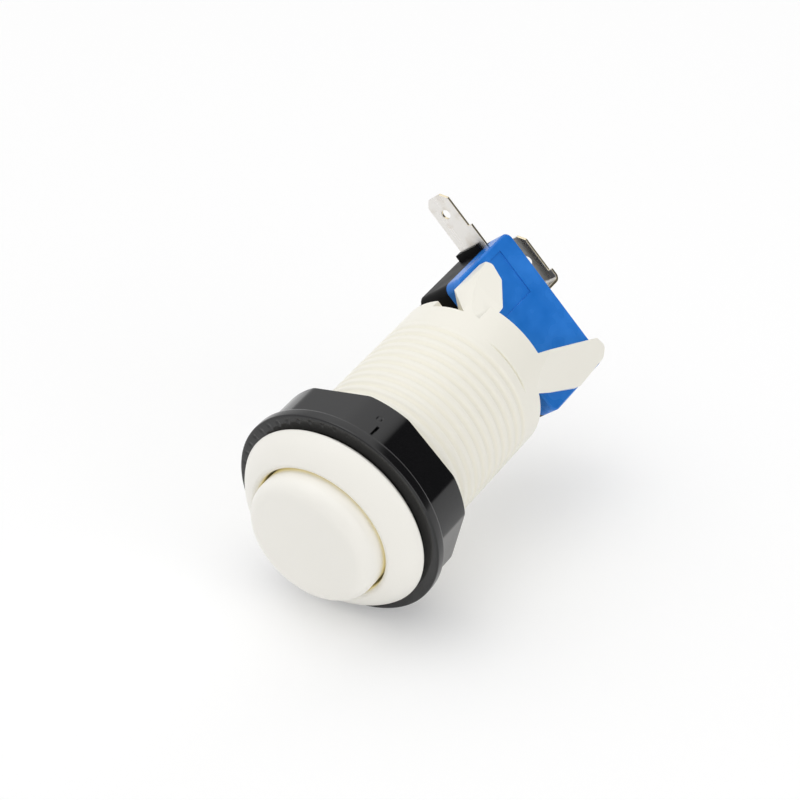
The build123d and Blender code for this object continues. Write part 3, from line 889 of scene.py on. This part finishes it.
# Floor under the lying button: it touches the flange's rim, and the rear end stands clear of it.
# The gap is in millimetres, the floor's half width and its fade in metres.

floorLook = {
    "up": (-0.763, 0.623, -0.172), "half": 1.6, "gap": 0.05, "fadeFrom": 0.4, "fadeTo": 1.3,
    "colour": 0.97, "roughness": 0.7, "specular": 0.1, "whiteShare": 0.30,
}
upWay = Vector(floorLook["up"]).normalized()


def lowestLevel(direction):
    # Least distance of the CAD nodes along a direction
    levels = []
    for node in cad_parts.values():
        places = np.empty(len(node.data.vertices) * 3)
        node.data.vertices.foreach_get("co", places)
        levels.append((places.reshape(-1, 3) @ np.array(direction)).min())
    return min(levels)


def floorMaterial(look):
    # Matt white card that the camera and reflections see partly as white. The camera doesn't see it
    # from below, and sees it fade out far away.
    material, tree, shader, place = startMaterial("paleFloor")
    shader.inputs["Base Color"].default_value = (look["colour"], look["colour"], look["colour"], 1)
    shader.inputs["Roughness"].default_value = look["roughness"]
    shader.inputs["Specular IOR Level"].default_value = look["specular"]
    path = tree.nodes.new("ShaderNodeLightPath")
    seen = mathNode(tree, "MAXIMUM", path.outputs["Is Camera Ray"], path.outputs["Is Glossy Ray"])
    white = addNode(tree, "ShaderNodeEmission", Color=(1, 1, 1, 1), Strength=1.0)
    lifted = mixShaders(tree, mathNode(tree, "MULTIPLY", seen, look["whiteShare"]), shader, white)
    behind = tree.nodes.new("ShaderNodeNewGeometry")
    distance = addNode(tree, "ShaderNodeVectorMath", {0: place}, operation="LENGTH")
    faded = softRange(tree, distance.outputs["Value"], look["fadeFrom"], look["fadeTo"], 0.0, 1.0)
    away = mathNode(tree, "MAXIMUM", behind.outputs["Backfacing"], faded)
    hidden = mathNode(tree, "MULTIPLY", path.outputs["Is Camera Ray"], away)
    clear = tree.nodes.new("ShaderNodeBsdfTransparent")
    output = next(node for node in tree.nodes if node.type == "OUTPUT_MATERIAL")
    tree.links.new(mixShaders(tree, hidden, lifted, clear).outputs[0], output.inputs["Surface"])
    return material


floorLevel = lowestLevel(upWay) - floorLook["gap"] * mm
sideWay = upWay.cross(forwardWay).normalized()
frontWay = sideWay.cross(upWay)
floorCorners = [
    upWay * floorLevel + (sideWay * across + frontWay * along) * floorLook["half"]
    for across, along in ((-1, -1), (1, -1), (1, 1), (-1, 1))
]
floorMesh = bpy.data.meshes.new("paleFloor")
floorMesh.from_pydata([tuple(corner) for corner in floorCorners], [], [(0, 1, 2, 3)])
if floorMesh.polygons[0].normal.dot(upWay) < 0:
    floorMesh.flip_normals()
floorMesh.materials.append(floorMaterial(floorLook))
paleFloor = bpy.data.objects.new("paleFloor", floorMesh)
bpy.context.scene.collection.objects.link(paleFloor)
print("camera and floor set, floor level", round(floorLevel / mm, 2), "mm")


# Light: a soft room with a broad light above, a dark and a dim side, and two weak soft lamps.
# Ways are to the right, up and back of the camera, lamp distances and sizes in metres.

roomLight = {
    "wall": 0.84, "above": 1.25, "aboveFrom": 0.50, "aboveTo": 0.80,
    "darkTowards": (0.88, 0.45, 0.18), "darkFrom": 0.78, "darkTo": 0.92, "darkShare": 0.95,
    "dimTowards": (-0.50, -0.25, 0.83), "dimFrom": 0.60, "dimTo": 0.95, "dimShare": 0.36,
}
softLamps = {
    "keyLamp": {"towards": (-0.25, 0.85, 0.45), "distance": 0.9, "size": 0.5, "power": 0.7},
    "fillLamp": {"towards": (0.70, -0.05, 0.70), "distance": 0.9, "size": 0.8, "power": 1.35},
}


def makeRoom(look):
    # White to the camera; for light, a wall that brightens overhead and has a dark and a dim side
    world = bpy.data.worlds.new("softRoom")
    bpy.context.scene.world = world
    world.use_nodes = True
    tree = world.node_tree
    tree.nodes.clear()
    place = tree.nodes.new("ShaderNodeTexCoord").outputs["Generated"]
    strength = softRange(tree, alongWay(tree, place, upWay), look["aboveFrom"], look["aboveTo"],
                         look["wall"], look["above"])
    for side in ("dark", "dim"):
        along = alongWay(tree, place, fromCamera(*look[side + "Towards"]))
        left = 1.0 - look[side + "Share"]
        shade = softRange(tree, along, look[side + "From"], look[side + "To"], 1.0, left)
        strength = mathNode(tree, "MULTIPLY", strength, shade)
    lit = addNode(tree, "ShaderNodeBackground", {"Strength": strength}, Color=(1, 1, 1, 1))
    seen = addNode(tree, "ShaderNodeBackground", Color=(1, 1, 1, 1), Strength=1.0)
    path = tree.nodes.new("ShaderNodeLightPath")
    output = tree.nodes.new("ShaderNodeOutputWorld")
    mix = mixShaders(tree, path.outputs["Is Camera Ray"], lit, seen)
    tree.links.new(mix.outputs[0], output.inputs["Surface"])


def addLamp(name, lamp, target):
    # A round lamp at its distance from the target, facing it
    data = bpy.data.lights.new(name, "AREA")
    data.shape = "DISK"
    data.size = lamp["size"]
    data.energy = lamp["power"]
    way = fromCamera(*lamp["towards"])
    holder = bpy.data.objects.new(name, data)
    turned = way.to_track_quat("Z", "Y").to_matrix().to_4x4()
    holder.matrix_world = Matrix.Translation(target + way * lamp["distance"]) @ turned
    bpy.context.scene.collection.objects.link(holder)


makeRoom(roomLight)
middle = (Vector(cadBox[0]) + Vector(cadBox[1])) / 2
for name, lamp in softLamps.items():
    addLamp(name, lamp, middle)

bpy.context.scene.view_settings.view_transform = "Standard"
print("light set")
